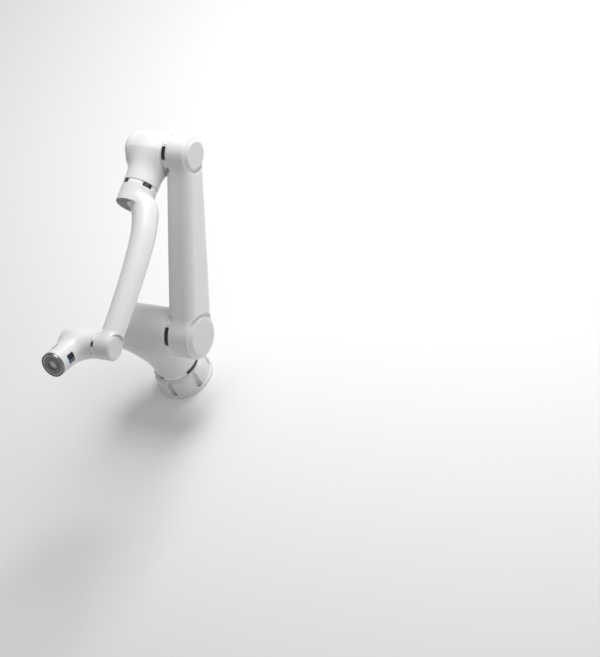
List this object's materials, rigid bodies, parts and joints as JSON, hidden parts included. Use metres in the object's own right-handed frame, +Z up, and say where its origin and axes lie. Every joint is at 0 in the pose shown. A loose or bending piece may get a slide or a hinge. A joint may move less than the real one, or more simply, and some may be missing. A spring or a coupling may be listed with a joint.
{
  "type": "collaborative robot arm",
  "caption": "Six-axis collaborative robot arm with round bolted base, offset tubular links, lit joint rings and a round tool flange.",
  "frame": {"origin": "centre of the base mounting face, on the base joint axis", "axes": "+Z up along the base joint axis, +X the side the arm reaches towards, +Y the side the upper arm is on"},
  "size_m": [0.8864, 0.333, 0.7756],
  "materials": {
    "arm_paint": "smooth satin warm-white paint",
    "cover_paint": "fine satin moulded covers, the same white",
    "ring_diffuser": "milky translucent ring",
    "black_lens": "glossy black window",
    "machined_steel": "ground steel",
    "stator_copper": "copper windings on laminations",
    "rotor_steel": "dark machined steel",
    "circuit_board": "green solder mask",
    "cable_jacket": "black jacket",
    "blue_light": "blue light guide",
    "flange_metal": "dark anodised, turned",
    "connector_metal": "nickel-plated connector"
  },
  "bodies": {
    "base": {"base_housing": "arm_paint", "base_connector": "connector_metal", "joint_1_status_ring": "ring_diffuser", "joint_1_status_lenses": "black_lens", "joint_1_gear_unit": "machined_steel", "joint_1_stator": "stator_copper", "joint_1_drive_board": "circuit_board"},
    "shoulder": {"shoulder_housing": "arm_paint", "shoulder_rear_cap": "cover_paint", "joint_1_output_hub": "machined_steel", "joint_2_status_ring": "ring_diffuser", "joint_2_status_lenses": "black_lens", "joint_2_gear_unit": "machined_steel", "joint_2_stator": "stator_copper", "joint_2_drive_board": "circuit_board"},
    "upper_arm": {"upper_arm_shell": "arm_paint", "upper_arm_shoulder_cap": "cover_paint", "upper_arm_elbow_cap": "cover_paint", "upper_arm_harness": "cable_jacket", "joint_2_output_hub": "machined_steel", "joint_3_output_hub": "machined_steel"},
    "elbow": {"elbow_housing": "arm_paint", "elbow_rear_cap": "cover_paint", "joint_3_status_ring": "ring_diffuser", "joint_3_status_lenses": "black_lens", "joint_3_gear_unit": "machined_steel", "joint_3_stator": "stator_copper", "joint_3_drive_board": "circuit_board", "joint_4_status_ring": "ring_diffuser", "joint_4_status_lenses": "black_lens", "joint_4_gear_unit": "machined_steel", "joint_4_stator": "stator_copper", "joint_4_drive_board": "circuit_board"},
    "forearm": {"forearm_shell": "arm_paint", "forearm_top_cap": "cover_paint", "forearm_wrist_cap": "cover_paint", "forearm_harness": "cable_jacket", "joint_4_output_hub": "machined_steel", "joint_5_status_ring": "ring_diffuser", "joint_5_status_lenses": "black_lens", "joint_5_gear_unit": "machined_steel", "joint_5_stator": "stator_copper", "joint_5_drive_board": "circuit_board"},
    "wrist": {"wrist_housing": "arm_paint", "wrist_rear_cap": "cover_paint", "wrist_windows": "black_lens", "wrist_led_line": "blue_light", "joint_5_output_hub": "machined_steel", "joint_6_gear_unit": "machined_steel", "joint_6_stator": "stator_copper", "joint_6_drive_board": "circuit_board"},
    "tool": {"tool_flange": "flange_metal"},
    "joint_1_rotor": {"joint_1_rotor": "rotor_steel"},
    "joint_2_rotor": {"joint_2_rotor": "rotor_steel"},
    "joint_3_rotor": {"joint_3_rotor": "rotor_steel"},
    "joint_4_rotor": {"joint_4_rotor": "rotor_steel"},
    "joint_5_rotor": {"joint_5_rotor": "rotor_steel"},
    "joint_6_rotor": {"joint_6_rotor": "rotor_steel"}
  },
  "joints": [
    {"name": "base_turn", "type": "hinge", "parent": "base", "child": "shoulder", "pos_m": [0, 0, 0], "axis": [0, 0, 1], "range_deg": [-180, 180]},
    {"name": "shoulder_swing", "type": "hinge", "parent": "shoulder", "child": "upper_arm", "pos_m": [0, 0, 0.254], "axis": [0, 1, 0], "range_deg": [-65, 150]},
    {"name": "elbow_bend", "type": "hinge", "parent": "upper_arm", "child": "elbow", "pos_m": [-0.38084, 0, 0.71764], "axis": [0, 1, 0], "range_deg": [-280, 6]},
    {"name": "forearm_roll", "type": "hinge", "parent": "elbow", "child": "forearm", "pos_m": [-0.38084, 0.025, 0.71764], "axis": [0.9799, 0, -0.1994], "range_deg": [-180, 180]},
    {"name": "wrist_bend", "type": "hinge", "parent": "forearm", "child": "wrist", "pos_m": [0.29531, 0.025, 0.58008], "axis": [0, 1, 0], "range_deg": [-180, 180]},
    {"name": "tool_roll", "type": "hinge", "parent": "wrist", "child": "tool", "pos_m": [0.29531, 0.025, 0.58008], "axis": [0.9178, 0, 0.3971], "range_deg": [-180, 180]},
    {"name": "joint_1_rotor_spin", "type": "hinge", "parent": "base", "child": "joint_1_rotor", "pos_m": [0, 0, 0], "axis": [0, 0, 1], "range_deg": [-18190, 18190]},
    {"name": "joint_2_rotor_spin", "type": "hinge", "parent": "shoulder", "child": "joint_2_rotor", "pos_m": [0, 0, 0.254], "axis": [0, 1, 0], "range_deg": [-6575, 15160]},
    {"name": "joint_3_rotor_spin", "type": "hinge", "parent": "elbow", "child": "joint_3_rotor", "pos_m": [-0.38084, 0, 0.71764], "axis": [0, 1, 0], "range_deg": [-28290, 616]},
    {"name": "joint_4_rotor_spin", "type": "hinge", "parent": "elbow", "child": "joint_4_rotor", "pos_m": [-0.38084, 0.025, 0.71764], "axis": [0.9799, 0, -0.1994], "range_deg": [-18190, 18190]},
    {"name": "joint_5_rotor_spin", "type": "hinge", "parent": "forearm", "child": "joint_5_rotor", "pos_m": [0.29531, 0.025, 0.58008], "axis": [0, 1, 0], "range_deg": [-18190, 18190]},
    {"name": "joint_6_rotor_spin", "type": "hinge", "parent": "wrist", "child": "joint_6_rotor", "pos_m": [0.29531, 0.025, 0.58008], "axis": [0.9178, 0, 0.3971], "range_deg": [-18190, 18190]}
  ],
  "couplings": [
    {"joint": "joint_1_rotor_spin", "follows": "base_turn", "ratio": 101},
    {"joint": "joint_2_rotor_spin", "follows": "shoulder_swing", "ratio": 101},
    {"joint": "joint_3_rotor_spin", "follows": "elbow_bend", "ratio": 101},
    {"joint": "joint_4_rotor_spin", "follows": "forearm_roll", "ratio": 101},
    {"joint": "joint_5_rotor_spin", "follows": "wrist_bend", "ratio": 101},
    {"joint": "joint_6_rotor_spin", "follows": "tool_roll", "ratio": 101}
  ]
}
